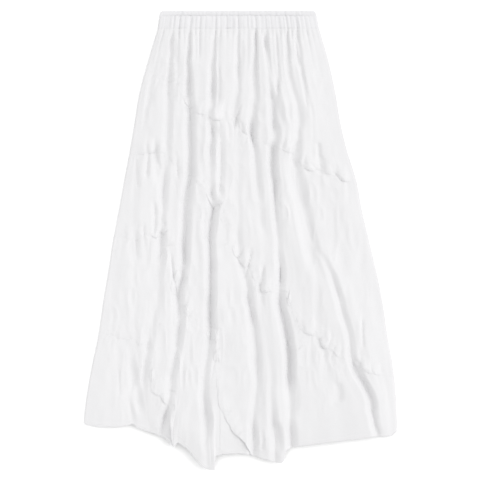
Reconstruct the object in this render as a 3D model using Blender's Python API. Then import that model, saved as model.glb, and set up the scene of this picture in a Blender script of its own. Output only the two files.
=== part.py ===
"""Tiered ruffle skirt, an elastic-waist skirt laid flat on its back.

X runs across the skirt, Y from the hem up to the waist, Z up from the surface it lies on.
The tube of cloth is pressed flat: the back pieces lie level on the surface and the front pieces
lie on them, lifted into long folds. The origin is the middle of the outline, on the surface.
Sizes are in metres. The tables are in millimetres, measured down from the top edge of the
waistband ("drop") and across from the middle of the skirt.
"""
import bpy
import numpy as np

MM = 0.001

# Driving sizes
LENGTH = 0.900             # top of the waistband to the lowest point of the hem
WALL = 0.0016              # one layer of cloth
GAP = 0.0003               # clearance between pieces that are sewn or lie together

BAND_DEPTH = 0.035         # height of the elastic casing
BAND_WALL = 0.0028         # the casing with its elastic inside
BAND_STEP = 0.010          # the back of the waistband stands this much above the front
BAND_CORNER = 0.005        # rounded ends of the waistband
BAND_LEFT = -0.156         # ends of the waistband at its top edge
BAND_RIGHT = 0.148
GATHERS = 20               # gathers across the front of the casing
GATHER_HEIGHT = 0.0018
GATHER_CROWDING = 0.05     # how much closer the gathers sit towards the right side
GATHER_SAMPLES = 4         # mesh columns for each gather

FRONT_LOWEST = 0.0038      # lowest level of the front's upper face
SIDE_ROUNDING = 0.030      # the front rolls down to the back over this width at each side
FLANK_LEFT = 0.032         # a ridge climbs slowly from the fold on its left
FLANK_RIGHT = 0.013        # and falls steeply into the fold on its right
FOLD_PEAK = 0.60           # place of the crest between two folds

SEAM_DIP = 0.0045          # the gathered seams sink this deep between two tiers
SEAM_PUFF = 0.0030         # the upper tier swells this much just above its lower seam
SEAM_ROLL = 0.010          # width of the roll from the swelling down to the seam
SEAM_REACH = 0.035         # length of the swelling
SEAM_RECOVERY = 0.030      # the lower tier is back at its full height after this distance
TIER_TIP = 0.0020          # a tier that runs out into the hem ends this narrow

# Cross sections of the front, from the waist to the hem: the drop, the crest height of the
# ridges, then the place of the left edge, of the eight deep folds and of the right edge.
SECTION_COLUMNS = ("drop", "crest", "left", "fold_1", "fold_2", "fold_3", "fold_4", "fold_5",
                   "fold_6", "fold_7", "fold_8", "right")
SECTIONS = (
    (35, 6, -161, -149, -135, -100, -50, -2, 31, 51, 112, 155),
    (98, 8, -180, -169, -135, -99, -50, -1, 31, 57, 118, 173),
    (167, 9, -198, -178, -135, -98, -50, 0, 33, 65, 129, 188),
    (216, 10, -206, -182, -138, -94, -53, -6, 27, 73, 127, 196),
    (275, 11, -216, -192, -139, -94, -54, -4, 31, 67, 124, 210),
    (333, 12, -227, -202, -149, -99, -55, -2, 37, 71, 126, 228),
    (392, 13, -238, -204, -153, -103, -61, -1, 43, 75, 139, 239),
    (451, 14, -249, -204, -155, -106, -59, 2, 51, 78, 157, 253),
    (510, 15, -258, -205, -157, -109, -57, 14, 49, 80, 188, 267),
    (569, 15, -268, -205, -161, -116, -55, 20, 51, 79, 200, 279),
    (637, 16, -278, -208, -172, -113, -52, 33, 59, 94, 216, 289),
    (706, 16, -292, -214, -182, -127, -67, 36, 65, 100, 227, 301),
    (765, 16, -302, -216, -184, -136, -65, 31, 69, 102, 257, 306),
    (814, 16, -307, -211, -180, -147, -63, 29, 71, 104, 273, 308),
    (902, 16, -307, -210, -180, -149, -59, 29, 73, 110, 278, 308),
)

# Depth of each deep fold below the crests beside it.
DEPTH_COLUMNS = ("drop", "fold_1", "fold_2", "fold_3", "fold_4", "fold_5", "fold_6", "fold_7",
                 "fold_8")
FOLD_DEPTHS = (
    (35, 2, 3, 3, 3, 3, 4, 2, 3),
    (98, 2, 4, 5, 5, 3, 5, 2, 5),
    (167, 3, 5, 7, 7, 3, 5, 5, 5),
    (216, 3, 5, 9, 7, 4, 6, 7, 2),
    (275, 4, 5, 10, 7, 2, 5, 9, 3),
    (333, 4, 5, 9, 8, 2, 4, 10, 3),
    (392, 4, 4, 9, 11, 3, 4, 10, 3),
    (451, 6, 4, 8, 12, 4, 4, 11, 4),
    (510, 6, 4, 6, 13, 8, 4, 11, 7),
    (569, 6, 6, 8, 13, 9, 3, 11, 8),
    (637, 6, 8, 9, 13, 9, 3, 12, 7),
    (706, 6, 9, 10, 12, 9, 4, 12, 7),
    (765, 5, 5, 10, 13, 6, 6, 10, 9),
    (814, 4, 3, 10, 13, 7, 7, 9, 9),
    (902, 4, 3, 8, 12, 8, 8, 8, 9),
)

# Share of the crest height that each ridge reaches beside the fold on its left and beside the
# fold on its right. Narrow ridges stand up, and wide ones lie low.
RIDGE_SHOULDERS = (
    (0.25, 0.42), (0.45, 0.55), (0.62, 0.85), (0.92, 1.00), (1.00, 0.88),
    (0.80, 0.90), (0.88, 0.92), (0.78, 0.42), (0.48, 0.30),
)
RIDGES = len(RIDGE_SHOULDERS)

# Gathered seams between the tiers of the front, each as points (across, drop).
FRONT_SEAMS = (
    ((-190, 122), (-137, 143), (-108, 182), (-92, 198), (-53, 212), (-16, 218), (0, 235), (24, 249),
     (63, 271), (102, 282), (124, 310), (157, 318), (200, 331), (230, 341)),
    ((-220, 286), (-163, 276), (-141, 286), (-122, 318), (-98, 325), (-53, 378), (-33, 422),
     (-10, 482), (10, 504), (43, 549), (84, 553), (118, 627), (159, 659), (192, 682), (255, 712),
     (305, 722)),
    ((-252, 445), (-206, 451), (-176, 441), (-153, 449), (-135, 494), (-122, 565), (-98, 604),
     (-69, 627), (-53, 661), (-41, 775), (-16, 824), (10, 849), (24, 873), (60, 960)),
    ((-281, 637), (-202, 651), (-180, 690), (-173, 749), (-157, 757), (-141, 780), (-131, 857),
     (-100, 960)),
)
FRONT_HEM = (
    (-308, 806), (-304, 812), (-275, 816), (-235, 816), (-220, 813), (-211, 810), (-200, 818),
    (-176, 826), (-151, 835), (-141, 843), (-130, 855), (-122, 846), (-102, 859), (-78, 888),
    (-69, 897), (-60, 900), (-50, 900), (-47, 873), (-35, 869), (0, 867), (22, 871), (39, 875),
    (67, 885), (80, 887), (86, 882), (91, 861), (108, 854), (176, 846), (265, 835), (298, 834),
    (308, 825),
)

# The same tiers go round the back, with straight seams and a plain hem.
BACK_SEAMS = (
    ((-190, 122), (230, 341)),
    ((-220, 286), (305, 722)),
    ((-252, 445), (24, 858), (60, 960)),
    ((-281, 637), (-131, 838), (-60, 960)),
)
BACK_HEM = (
    (-308, 802), (-240, 806), (-200, 810), (-150, 826), (-110, 844), (-60, 862), (0, 862),
    (90, 850), (180, 838), (308, 820),
)

# Places of the mesh columns between two deep folds, and more of them where the hem has corners.
COLUMN_SHARES = (0.0, 0.12, 0.35, 0.62, 0.88)
CORNER_SHARES = {3: (0.21,), 4: (0.145,), 6: (0.21, 0.48)}
BACK_COLUMNS = 15
FRONT_ROWS = (9, 10, 10, 9, 6)   # mesh rows of each tier
BACK_ROWS = (4, 4, 4, 4, 4)
BAND_ROWS = (0.0, 0.2, 0.8, 1.0)   # mesh rows of the waistband, as shares of its depth
BAND_BACK_COLUMNS = (0.0, 0.006, 0.0165, 0.25, 0.5, 0.75, 0.9835, 0.994, 1.0)

COTTON_WHITE = (0.88, 0.885, 0.90, 1.0)
COTTON_ROUGHNESS = 0.85


def clear_scene():
    for item in list(bpy.data.objects):
        bpy.data.objects.remove(item, do_unlink=True)


# Curves and tables

def smooth_curve(places, values):
    """A function that reads a smooth curve through the points (places, values)."""
    places = np.asarray(places, float)
    values = np.asarray(values, float)
    slopes = np.gradient(values, places)

    def read(at):
        at = np.clip(at, places[0], places[-1])
        index = np.clip(np.searchsorted(places, at, side="right") - 1, 0, len(places) - 2)
        width = places[index + 1] - places[index]
        t = (at - places[index]) / width
        ends = (1 + 2 * t) * (1 - t) ** 2 * values[index] + t * t * (3 - 2 * t) * values[index + 1]
        turns = t * (1 - t) ** 2 * slopes[index] - t * t * (1 - t) * slopes[index + 1]
        return ends + turns * width

    return read


def table_curve(rows, names, name):
    """One named column of a table as a smooth curve over the drop, in metres."""
    column = names.index(name)
    return smooth_curve([row[0] * MM for row in rows], [row[column] * MM for row in rows])


GUIDES = [table_curve(SECTIONS, SECTION_COLUMNS, name) for name in SECTION_COLUMNS[2:]]
CREST = table_curve(SECTIONS, SECTION_COLUMNS, "crest")
DEPTHS = [table_curve(FOLD_DEPTHS, DEPTH_COLUMNS, name) for name in DEPTH_COLUMNS[1:]]


def front_place(column, drop):
    """Place across of a column of the front. Column 3.25 is a quarter of the way over ridge 3."""
    ridge = min(int(column), RIDGES - 1)
    share = column - ridge
    return GUIDES[ridge](drop) * (1 - share) + GUIDES[ridge + 1](drop) * share


def back_place(column, drop):
    """Place across of a column of the back, which runs from 0 at the left edge to 1 at the right."""
    return GUIDES[0](drop) * (1 - column) + GUIDES[-1](drop) * column


def edge_drop(points, across):
    """Drop of a seam or a hem at a place across."""
    return np.interp(across, [p[0] * MM for p in points], [p[1] * MM for p in points])


def meeting_drop(points, column, place):
    """Drop at which a column meets a seam or a hem, found by halving."""
    upper, lower = 0.0, LENGTH + 0.05
    for _ in range(30):
        middle = (upper + lower) / 2
        if middle < edge_drop(points, place(column, middle)):
            upper = middle
        else:
            lower = middle
    return (upper + lower) / 2


def world_y(drop):
    return LENGTH / 2 - drop


# Height of the front's upper face

def rise(share):
    """Quarter of an ellipse: steep at a crevice, level at the crest."""
    return np.sqrt(1 - (1 - np.clip(share, 0, 1)) ** 2)


def fold_level(number, drop):
    """Height of the bottom of a deep fold. The side edges, numbered 0 and 9, are at the lowest
    level."""
    if number in (0, RIDGES):
        return 0.0
    shoulder = (RIDGE_SHOULDERS[number - 1][1] + RIDGE_SHOULDERS[number][0]) / 2
    return max(CREST(drop) * shoulder - DEPTHS[number - 1](drop), 0.0)


def fold_height(column, drop):
    """Height of the folds above the lowest level of the front."""
    ridge = min(int(column), RIDGES - 1)
    share = column - ridge
    left = GUIDES[ridge](drop)
    width = GUIDES[ridge + 1](drop) - left
    left_crest, right_crest = (CREST(drop) * shoulder for shoulder in RIDGE_SHOULDERS[ridge])
    crest = left_crest * (1 - share) + right_crest * share
    left_reach = SIDE_ROUNDING if ridge == 0 else min(FOLD_PEAK * width, FLANK_LEFT)
    right_reach = SIDE_ROUNDING if ridge == RIDGES - 1 else min((1 - FOLD_PEAK) * width, FLANK_RIGHT)
    left_fall = (left_crest - fold_level(ridge, drop)) * (1 - rise(share * width / left_reach))
    right_fall = (right_crest - fold_level(ridge + 1, drop)) * (1 - rise((1 - share) * width / right_reach))
    return max(crest - left_fall - right_fall, 0.0)


def above_seam(distance):
    """A tier swells above its lower seam and rolls down to it."""
    swelling = SEAM_PUFF * max(0.0, 1 - abs(distance - SEAM_ROLL) / SEAM_REACH)
    return swelling - (SEAM_PUFF + SEAM_DIP) * (1 - rise(distance / SEAM_ROLL))


def below_seam(distance):
    """A tier starts low under its upper seam and climbs to its full height."""
    return -SEAM_DIP * (1 - min(distance / SEAM_RECOVERY, 1.0)) ** 2


# Walls

def cotton_material(name):
    material = bpy.data.materials.new(name + "_cotton")
    material.use_nodes = True
    shader = material.node_tree.nodes["Principled BSDF"]
    shader.inputs["Base Color"].default_value = COTTON_WHITE
    shader.inputs["Roughness"].default_value = COTTON_ROUGHNESS
    shader.inputs["Metallic"].default_value = 0.0
    return material


def build_wall(name, upper, under):
    """One closed wall between two grids of points, its upper face and its under face. Rows run
    from the waist to the hem, columns from left to right."""
    rows, columns = upper.shape[:2]
    count = rows * columns
    faces = []
    for row in range(rows - 1):
        for column in range(columns - 1):
            a = row * columns + column
            b, c, d = a + 1, a + columns + 1, a + columns
            faces.append((a, d, c, b))
            faces.append((a + count, b + count, c + count, d + count))
    rim = list(range(columns))
    rim += [row * columns + columns - 1 for row in range(1, rows)]
    rim += [(rows - 1) * columns + column for column in range(columns - 2, -1, -1)]
    rim += [row * columns for row in range(rows - 2, 0, -1)]
    for first, second in zip(rim, rim[1:] + rim[:1]):
        faces.append((first, second, second + count, first + count))
    points = np.concatenate([upper.reshape(-1, 3), under.reshape(-1, 3)])
    mesh = bpy.data.meshes.new(name)
    mesh.from_pydata(points.tolist(), [], faces)
    mesh.materials.append(cotton_material(name))
    mesh.update()
    item = bpy.data.objects.new(name, mesh)
    bpy.context.scene.collection.objects.link(item)


def wall_under(upper, lowest):
    """Under face of a wall of even thickness, never lower than the given level."""
    down = np.gradient(upper, axis=0)
    over = np.gradient(upper, axis=1)
    normal = np.cross(down, over)
    level = np.abs(normal[..., 2]) / np.linalg.norm(normal, axis=2)
    under = upper.copy()
    under[..., 2] = np.maximum(upper[..., 2] - WALL / np.clip(level, 0.5, 1), lowest)
    return under


# Tiers

def seam_drops(points, columns, hems, place):
    """Drop of a seam on each column. Past the place where the seam runs into the hem, it is
    the hem."""
    drops = []
    ended = False
    for column, hem in zip(columns, hems):
        drop = meeting_drop(points, column, place)
        drops.append(hem if ended else min(drop, hem - TIER_TIP))
        ended = ended or drop >= hem - TIER_TIP
    return np.array(drops)


def edge_lean(drops, columns, place):
    """How much longer a distance along the column is than one square to the edge."""
    across = np.array([place(column, drop) for column, drop in zip(columns, drops)])
    slopes = np.abs(np.diff(drops) / np.diff(across))
    return np.hypot(1, np.maximum(np.append(slopes, 0), np.insert(slopes, 0, 0)))


def row_shares(count):
    """Row places from 0 to 1, closer together near both edges."""
    return 0.5 - 0.5 * np.cos(np.pi * np.arange(count) / (count - 1))


def tier_grid(columns, top, bottom, rows, place, height):
    """Points of a tier between two edges. height(column, drop, down, up) is the height at a
    point that lies down from the upper edge and up from the lower one."""
    columns = columns[bottom - top > TIER_TIP / 2]
    top, bottom = (edge[bottom - top > TIER_TIP / 2] for edge in (top, bottom))
    top_lean = edge_lean(top, columns, place)
    bottom_lean = edge_lean(bottom, columns, place)
    first = top + GAP / 2 * top_lean
    last = bottom - GAP / 2 * bottom_lean
    grid = np.zeros((rows, len(columns), 3))
    for row, share in enumerate(row_shares(rows)):
        drops = first + (last - first) * share
        for index, (column, drop) in enumerate(zip(columns, drops)):
            down = (drop - first[index]) / top_lean[index]
            up = (last[index] - drop) / bottom_lean[index]
            grid[row, index] = (place(column, drop), world_y(drop), height(column, drop, down, up))
    return grid


def tier_lines(columns, seams, hem, place):
    """Edges between the tiers on each column: the waist seam, the gathered seams and the hem."""
    hems = np.array([meeting_drop(hem, column, place) for column in columns])
    waist = np.full(len(columns), BAND_DEPTH)
    return [waist] + [seam_drops(seam, columns, hems, place) for seam in seams] + [hems]


def build_front():
    columns = []
    for ridge in range(RIDGES):
        columns += [ridge + share for share in sorted(COLUMN_SHARES + CORNER_SHARES.get(ridge, ()))]
    columns = np.array(columns + [float(RIDGES)])
    lines = tier_lines(columns, FRONT_SEAMS, FRONT_HEM, front_place)
    for number, rows in enumerate(FRONT_ROWS):
        top, bottom = lines[number], lines[number + 1]
        seamed_columns = set(columns[bottom < lines[-1]])
        has_upper_seam = number > 0

        def height(column, drop, down, up):
            level = fold_height(column, drop)
            if has_upper_seam:
                level += below_seam(down)
            if column in seamed_columns:
                level += above_seam(up)
            return FRONT_LOWEST + max(level, 0.0)

        grid = tier_grid(columns, top, bottom, rows, front_place, height)
        build_wall("tier_%d_front" % (number + 1), grid, wall_under(grid, WALL + GAP))


def build_back():
    columns = np.linspace(0, 1, BACK_COLUMNS)
    lines = tier_lines(columns, BACK_SEAMS, BACK_HEM, back_place)
    for number, rows in enumerate(BACK_ROWS):
        grid = tier_grid(columns, lines[number], lines[number + 1], rows, back_place,
                         lambda column, drop, down, up: WALL)
        under = grid.copy()
        under[..., 2] = 0.0
        build_wall("tier_%d_back" % (number + 1), grid, under)


# Waistband

def band_grid(top, shares, height):
    """Points of a waistband piece from its top edge to the waist seam, with rounded ends."""
    foot = BAND_DEPTH - GAP / 2
    corner = BAND_CORNER / (BAND_RIGHT - BAND_LEFT)
    grid = np.zeros((len(BAND_ROWS), len(shares), 3))
    for index, share in enumerate(shares):
        end = min(share, 1 - share) / corner
        start = top + BAND_CORNER * (1 - rise(end))
        for row, fall in enumerate(BAND_ROWS):
            drop = start + (foot - start) * fall
            slant = drop / BAND_DEPTH
            left = BAND_LEFT + (GUIDES[0](BAND_DEPTH) - BAND_LEFT) * slant
            right = BAND_RIGHT + (GUIDES[-1](BAND_DEPTH) - BAND_RIGHT) * slant
            grid[row, index] = (left + (right - left) * share, world_y(drop), height(share, fall))
    return grid


def build_waistband():
    count = GATHERS * GATHER_SAMPLES
    even = np.arange(count + 1) / count
    shares = even + GATHER_CROWDING * np.sin(np.pi * even) ** 2
    upper_level = 2 * BAND_WALL + GAP

    def gathered(share, fall):
        turn = even[np.argmin(np.abs(shares - share))] * GATHERS
        return upper_level + GATHER_HEIGHT * abs(np.sin(np.pi * turn))

    front = band_grid(BAND_STEP, shares, gathered)
    under = front.copy()
    under[..., 2] = BAND_WALL + GAP
    build_wall("waistband_front", front, under)

    back = band_grid(0.0, BAND_BACK_COLUMNS, lambda share, fall: BAND_WALL)
    under = back.copy()
    under[..., 2] = 0.0
    build_wall("waistband_back", back, under)


clear_scene()
build_waistband()
build_front()
build_back()
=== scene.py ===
"""Looks of a long tiered skirt laid flat on its back: thin white cloth in five gathered tiers
under an elastic waist.

X runs across the skirt, Y from the hem to the waist, Z up from the surface it lies on. Lengths
are metres. Tables are in millimetres: "drop" is measured down from the top edge of the waistband
and "across" from the middle of the skirt. Columns count the places across: 0 is the left side,
1 to 8 are the crevices of the long folds and 9 is the right side.
"""
import math

import bpy
import numpy as np
from mathutils import Matrix, Vector
from mathutils.bvhtree import BVHTree


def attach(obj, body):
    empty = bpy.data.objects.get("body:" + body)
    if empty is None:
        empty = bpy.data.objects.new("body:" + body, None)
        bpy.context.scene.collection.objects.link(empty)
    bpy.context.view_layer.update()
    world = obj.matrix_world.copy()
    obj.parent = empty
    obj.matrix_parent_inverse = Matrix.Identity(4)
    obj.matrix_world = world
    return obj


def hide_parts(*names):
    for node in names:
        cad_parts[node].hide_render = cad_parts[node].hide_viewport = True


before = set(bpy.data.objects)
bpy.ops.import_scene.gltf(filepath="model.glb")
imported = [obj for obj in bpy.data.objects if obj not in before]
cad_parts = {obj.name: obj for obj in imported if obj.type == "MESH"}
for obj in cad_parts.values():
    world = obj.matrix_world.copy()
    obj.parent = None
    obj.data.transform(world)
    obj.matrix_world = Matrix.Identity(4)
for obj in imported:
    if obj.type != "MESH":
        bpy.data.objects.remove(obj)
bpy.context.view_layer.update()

MM = 0.001

# Sizes shared with the frame
LENGTH = 0.900             # from the waist to the lowest point of the hem
BAND_DEPTH = 0.035         # from the top edge to the seam under the waistband
BAND_STEP = 0.0095         # the waistband's front starts this far below its back
BAND_CORNER = 0.005        # rounding of its upper corners
BAND_LEFT = -0.156         # ends of its top edge
BAND_RIGHT = 0.148
FRONT_LOWEST = 0.0038      # level of the front where the folds have no height
FOLD_PEAK = 0.60           # the left slope of a ridge takes at most this share of its width

# The cloth
CLOTH = 0.0006             # thickness of one layer
FRONT_FLOOR = 0.0031       # away from its sides the front never sinks below this level
SIDE_LEVEL = 0.0011        # the front and the back meet at this level along both sides
SIDE_TURN = 0.050          # width of the front's slope towards a side
SIDE_BEND = 0.003          # and of the bend at the side itself,
BEND_SHARE = 0.3           # which takes this share of the climb
BACK_RISE = 0.0017         # the back's creases rise this far from the surface
BACK_PRESS = 0.22          # what is left of a fold where the skirt lies on it
BACK_WAVES = 2             # the back's waves before they are pressed, to the front's

# The mesh
DENSE_STEPS = 400          # places for each ridge in the tables of an edge
FINE_PITCH = 0.0020        # from column to column, on the front
COARSE_PITCH = 0.0042      # and on the back
SEAM_PITCH = 1.7           # along a seam the columns are at most this much further apart
ROW_PITCH = 1.25           # pitch of the rows, to that of the columns
EVEN_ROWS = 0.45           # share of the rows' spacing that is even; the rest closes up at seams
FRONT_FACES = 44000        # most faces of a tier, before it gets its thickness
BACK_FACES = 10000
LEAST_TIER = 0.0012        # a tier ends where its two edges are nearer than this
ROLL_ROWS = 6              # rows in a turned edge
ROLL_SMOOTHING = 1         # columns to each side that its radius is averaged over,
EDGE_SMOOTHING = 2         # and its direction
SHARP_EDGE = math.radians(55)
HALVINGS = 26              # steps in the search for a meeting point,
SEARCH_BELOW = 0.05        # which goes this far below the longest hem

# Seeds of the noise
FRONT_SEED = 100           # seams and what lies beside them
BACK_SEED = 400
SEED_STEP = 20             # from one tier to the next
BACK_LOBE_SEED = 31
WANDER_SEED = 61
FRONT_FOLD_SEED = 5
BACK_FOLD_SEED = 6
FRONT_CRINKLE_SEED = 11
BACK_CRINKLE_SEED = 51
CRUMPLE_SEED = 21
WAIST_SEED = 77
FINE_RIB_SEED = 5
BROAD_RIB_SEED = 9

# Noise and pleats. In this file sizes of waves are their width, length and height; sizes of
# swings are their length, the line of the noise that they follow, and their height; and sizes of
# pleats are their pitch, the level they are measured from, and their height.
LATTICE = 97               # the noise repeats after this many swings
FOLDED_LEVEL = 0.35        # level that folded waves are measured from, about their mean
PLEAT_WANDER = (2.3, 3.3, 0.7)     # swings by which pleats stray sideways, in pitches
PLEAT_STRENGTH = (1.6, 7.1, 0.38)  # and by which their strength leaves
PLEAT_MEAN = 0.62                  # its mean
PLEAT_POWER = 0.7          # below 1 the ridges are broad and the valleys narrow

# Long folds
FOLD_WANDER = 0.0014       # size of a fold's small bends, of which some are long
LONG_BENDS = 0.034
SHORT_BENDS = 0.014        # and some short and half as wide
BENDS_APART = 3.1          # lines of the noise from one fold to the next
STRAIGHT_BELOW = 0.05      # the bends grow over this drop below the waistband
FOLD_DEEPENING = 1.45      # depth of a crevice, to its depth in the table
DEPTH_WAVER = 0.22         # share by which the depth comes and goes along a crevice,
LONG_WAVER = 0.055         # over this length,
SHORT_WAVER = 0.021        # and over this one
SHORT_WAVER_SHARE = 0.7    # by this much of that share
WAVER_APART = 5.7          # lines of the noise from one fold to the next
NARROW_AT_WAIST = 0.50     # share of their width that the slopes have at the waistband,
WIDE_BELOW_WAIST = 0.17    # and they have all of it this far below
GENTLE_BASE = 0.011        # reach of the slope on the right of a crevice: this
GENTLE_SLOPE = 0.35        # and this much for each millimetre of its depth
STEEP_BASE = 0.011         # and of the steeper slope on its left
STEEP_SLOPE = 0.30
SHARP_DEPTH = 0.010        # crevices this deep have the steepest sides
SHARPNESS = 0.22           # of these sides, from 0 for eased to 1 for upright
CORE_SHARE = 0.12          # along its middle such a crevice is this much deeper, of its depth,
CORE_REACH = 0.0032        # within this distance

# Smaller creases, in shares of their length
CREASE_START = 0.14        # a crease starts this far above its first place,
CREASE_IN = 0.34           # is at full depth after this,
CREASE_OUT = 0.36          # and fades over this
CREASE_END = 1.16          # towards its end here
CREASE_SHARPNESS = 0.55    # of a narrow crease
BROAD_CREASE = 14          # creases that reach this far, in millimetres, have a round bottom,
NARROWER = 6               # and those that reach this much less are narrow
LEAST_ROOM = 0.0015        # a crease can be this deep also where the cloth lies low

# Waves and crinkles of thin cloth
CRINKLE_BENDS = (0.060, 0.090, 0.0040)
SLOW_WAVES = (0.046, 0.130, 0.0021)
MIDDLE_WAVES = (0.018, 0.085, 0.0014)
NARROW_CRINKLES = (0.0085, 0.060, 1)
NARROW_WAVE = 0.00018      # height of the narrow crinkles as waves
NARROW_RIDGE = 0.00016     # and as ridges
NARROW_LEVEL = 0.4         # measured from this level
FINE_CRINKLES = (0.0048, 0.035, 0.00005)
FAN_DROP = 0.55            # the crinkles fan out with the columns, whose places here they follow
LOW_CLOTH = 0.005          # where the cloth lies lower than this, its waves are lower too,
LEAST_WAVES = 0.3          # down to this share

# Patches of crumpled cloth
CRUMPLED = 0.55            # share of the cloth that is crumpled,
CRUMPLED_LEFT = 0.35       # more of it towards the left side,
CRUMPLED_WIDTH = 0.30      # over this distance,
CRUMPLED_LOW = 0.3         # and towards the hem
CRUMPLE_PATCHES = (0.055, 0.075, 0.8)
CRUMPLE_BENDS = (0.030, 0.040, 0.0050)
BROAD_CRUMPLES = (0.014, 0.040, 0.0026)
SMALL_CRUMPLES = (0.009, 0.022, 0.0004)

# Lines of the seams and the hem. An edge's lean is its length for each metre across.
STEEPEST = 8.0             # limit of the slope of an edge
SLOPE_STEPS = 40           # places to each side that the slope is averaged over
HEM_LEAN = 1.4             # limit of a hem's lean, for its turned width and its sinking
LOBE_LEAN = 2.2            # limit of a seam's lean, for the hang of its lobes
LOBE_POWER = 0.8           # outline of a lobe: 0.5 is half an ellipse and 1 a parabola
EDGE_LIFT = 0.0025         # between its lobes an edge lies this far above its line
RAGGED_EDGE = ((0.009, 1.5, 0.0008), (0.004, 4.5, 0.0005))
RUN_OUT = 0.004            # a seam has run out where it is this near the hem
CLEAR_OF_HEM = 0.002       # before that it stays this far above the hem
LOBE_FADE = 0.040          # its lobes shrink within this distance of the hem,
SEWN_FADE = 0.014          # and it turns into the hem within this one

# Lobes of the back's seams
BACK_LOBE_PITCH = 27       # millimetres, as in the tables, and so are
BACK_LOBE = (4, 2.4)       # the greatest hang and swelling
FIRST_LOBE = 0.008         # from the side
LOBE_WIDTHS = (0.6, 1.3)   # least and greatest width, to the pitch
LEAST_LOBE = 0.35          # least hang and swelling, to the greatest
LOBE_OVERLAP = 1.1         # width of a lobe, to its share of the seam

# Cloth beside a seam
EDGE_NEAR = 0.028          # swelling and gathers fade out from this far above or below a seam
EDGE_FADE = 0.042          # over this distance,
SQUARE_REACH = 0.030       # and stand square to a slanting seam within about this one
EDGE_RISE = 0.004          # gathers reach their height this far from the seam
NARROW_CALM = 2            # powers by which narrow and wide gathers are calmer where it slants
WIDE_CALM = 1.5
FULL_SWELL = 0.0072        # a lobe that swells this much would have the largest turned edge
ROLL_SMALL = 0.0003        # radius of the turned edge between the lobes
ROLL_LARGE = 0.0018        # and under such a lobe
TURN_SMALL = math.radians(15)
TURN_LARGE = math.radians(140)
SEAM_CLEAR = 0.0003        # from the turned edge to the cloth below it
LIFT_REACH = 0.010         # where it would touch, the tier is lifted within this distance

# Above its lower seam a tier swells, with ridges and crumples. The last two numbers of a fade are
# the least and the greatest distance after which something runs out, the first two its swings.
PUFF_RISE = 0.0080         # it swells within this distance of the seam
PUFF_FADE = (0.022, 2.2, 0.014, 0.034)
SEAM_RIDGES = (0.015, 0.5, 0.0022)
RIDGE_FADE = (0.015, 6.1, 0.012, 0.045)
SEAM_CRUMPLES = (0.0075, 0.010, 0.0018)
SEAM_CRUMPLE_FADE = 0.015

# Below its upper seam a tier dips, with narrow and wide gathers
NARROW_GATHERS = (0.0086, 0.42, 0.0015)
NARROW_FADE = 0.010
WIDE_GATHERS = (0.0165, 0.42, 0.0026)
WIDE_FADE = (0.020, 4.4, 0.018, 0.055)
WIDE_START = 0.010         # the wide gathers start this far below the seam
DIP_SMALL = 0.00002        # the dip under the edge between lobes
DIP_LARGE = 0.0009         # and under a full lobe
DIP_SHORT = 0.0015         # distance within which it ends,
DIP_LONGER = 0.010         # and how much longer it is under a full lobe

# Waist gathers
BAND_GATHER = 0.90         # share of a gather's depth on the waistband
TIER_GATHER = 2.0          # and below it
GATHER_STEP = 0.008        # from the one to the other
VALLEY_WIDTH = 0.8         # of a waist gather, to its width in the table
WAIST_PLEATS = (0.0068, 0.5, 0.0005)
WAIST_PLEAT_FADE = 0.018
WAIST_GROOVE = 0.00008     # depth of the waist seam
GROOVE_REACH = 0.0016
WAIST_OPENING = 0.022      # the long folds reach their height this far below the waistband
WAIST_LEVEL = 0.0031       # height of the cloth at the waist seam, before its gathers

# Hem
HEM_WIDTH = 0.0055         # narrow turned hem
HEM_STEP = 0.0004          # which stands this much above the cloth
HEM_EASE = 0.0012          # over this distance
HEM_TURN = math.radians(165)
HEM_SINK = 0.50            # the folds lie this much lower at the hem
HEM_SINK_LENGTH = 0.030

# Waistband: a casing of one strip of cloth, folded over the elastic
BAND_COLUMNS = 340
INNER_ROWS = 6             # rows of the casing's inner layer,
OVER_ROWS = 11             # over its fold
OUTER_ROWS = 23            # and down its outer layer
CASING_INNER = 0.030       # the inner layer ends at this drop
BAND_SIDE_PART = 0.0002    # the casing's layers close up to this at its ends
BAND_TOP_SINK = 0.0009     # the casing is thinner towards its folded edge
BAND_TOP_REACH = 0.010     # within this distance
TOP_NOTCH = 0.6            # the gathers notch the front's folded edge by this share of their depth
TOP_GATHER = 0.6           # and start with this share of it there
BAND_SWELL = 0.0005        # the elastic rounds the casing by this much
FINE_RIBS = (0.0044, 0.024, 0.0007)
BROAD_RIBS = (0.0120, 0.018, 0.0008)
BACK_CRIMP = 0.35          # share of the gathers that the back of the waistband keeps
# Name of a half, drop of its top edge, level of its middle, radius of its fold, and the way its
# outer face looks
BAND_SHAPES = (
    ("waistband_front", BAND_STEP, 0.0049, 0.0015, 1),
    ("waistband_back", 0.0, 0.0014, 0.0012, -1),
)

# Stitches
STITCH_PITCH = 0.0036
STITCH_LENGTH = 0.0026
STITCH_WIDTH = 0.0006
STITCH_SIDES = 6
STITCH_RINGS = 5
HEM_INSET = 0.0042         # from the turned edge of the hem to its stitches
NOT_SEWN = 0.01            # an edge is a hem where it is sewn on by less than this share
LEAST_HEMMED = 0.012       # and is stitched where its tier is longer than this
FEWEST_COLUMNS = 6         # and its hem has at least so many columns
BAND_INSET = 0.0022        # from the waist seam to the waistband's stitches
BAND_END = 0.004           # from the side to the first of them

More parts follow.
